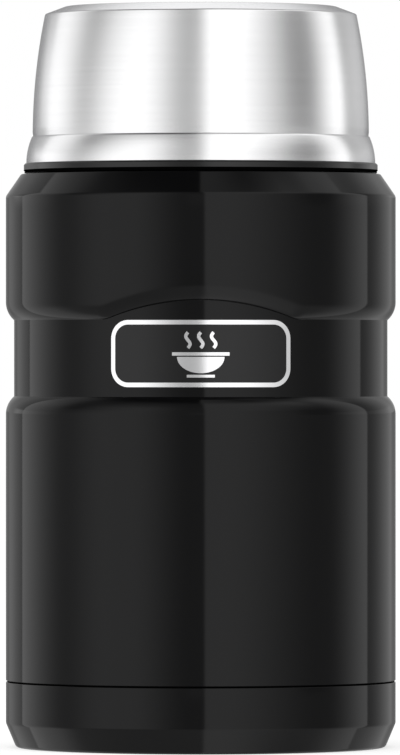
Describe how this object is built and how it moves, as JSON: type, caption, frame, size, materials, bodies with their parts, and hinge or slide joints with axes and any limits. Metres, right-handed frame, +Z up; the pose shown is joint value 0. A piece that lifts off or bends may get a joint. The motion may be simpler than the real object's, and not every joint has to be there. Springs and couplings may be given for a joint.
{
  "type": "insulated food jar",
  "caption": "Vacuum-insulated steel food jar with a screw-in stopper and a screw-on steel cup for a lid.",
  "frame": {"origin": "centre of the foot ring, on the surface that the jar stands on", "axes": "+Z up along the jar's axis, -Y towards the front, where the arched relief is"},
  "size_m": [0.102, 0.102, 0.1937],
  "materials": {
    "black_lacquer": "gloss",
    "brushed_steel": "satin",
    "bare_steel": "satin",
    "foil": "polished",
    "getter_metal": "matte",
    "solder": "satin",
    "black_plastic": "satin",
    "silicone": "matte",
    "black_rubber": "matte",
    "foam": "matte"
  },
  "bodies": {
    "jar": {"outer_shell": "black_lacquer", "base_cap": "black_lacquer", "port_bead": "solder", "port_cover_disc": "bare_steel", "inner_liner": "bare_steel", "liner_bottom": "bare_steel", "foil_wrap": "foil", "getter": "getter_metal", "getter_clip": "bare_steel"},
    "cup_carrier": {"cup_seal": "black_rubber"},
    "cup": {"cup_shell": "brushed_steel", "cup_liner": "black_plastic"},
    "stopper_carrier": {"stopper_gasket": "silicone"},
    "stopper": {"stopper_body": "black_plastic", "stopper_cap": "black_plastic", "stopper_foam": "foam"},
    "valve": {"relief_valve": "silicone"}
  },
  "joints": [
    {"name": "cup_lift", "type": "slide", "parent": "jar", "child": "cup_carrier", "axis": [0, 0, 1], "range_m": [0, 0.04]},
    {"name": "cup_turn", "type": "hinge", "parent": "cup_carrier", "child": "cup", "pos_m": [0, 0, 0], "axis": [0, 0, 1], "range_deg": [0, 900]},
    {"name": "stopper_lift", "type": "slide", "parent": "jar", "child": "stopper_carrier", "axis": [0, 0, 1], "range_m": [0, 0.02]},
    {"name": "stopper_turn", "type": "hinge", "parent": "stopper_carrier", "child": "stopper", "pos_m": [0, 0, 0], "axis": [0, 0, 1], "range_deg": [0, 450]},
    {"name": "valve_lift", "type": "slide", "parent": "stopper", "child": "valve", "axis": [0, 0, 1], "range_m": [0, 0.0012], "stiffness_N_per_m": 400}
  ],
  "couplings": [
    {"joint": "cup_lift", "follows": "cup_turn", "m_per_rad": 0.0025465},
    {"joint": "stopper_lift", "follows": "stopper_turn", "m_per_rad": 0.0025465}
  ]
}
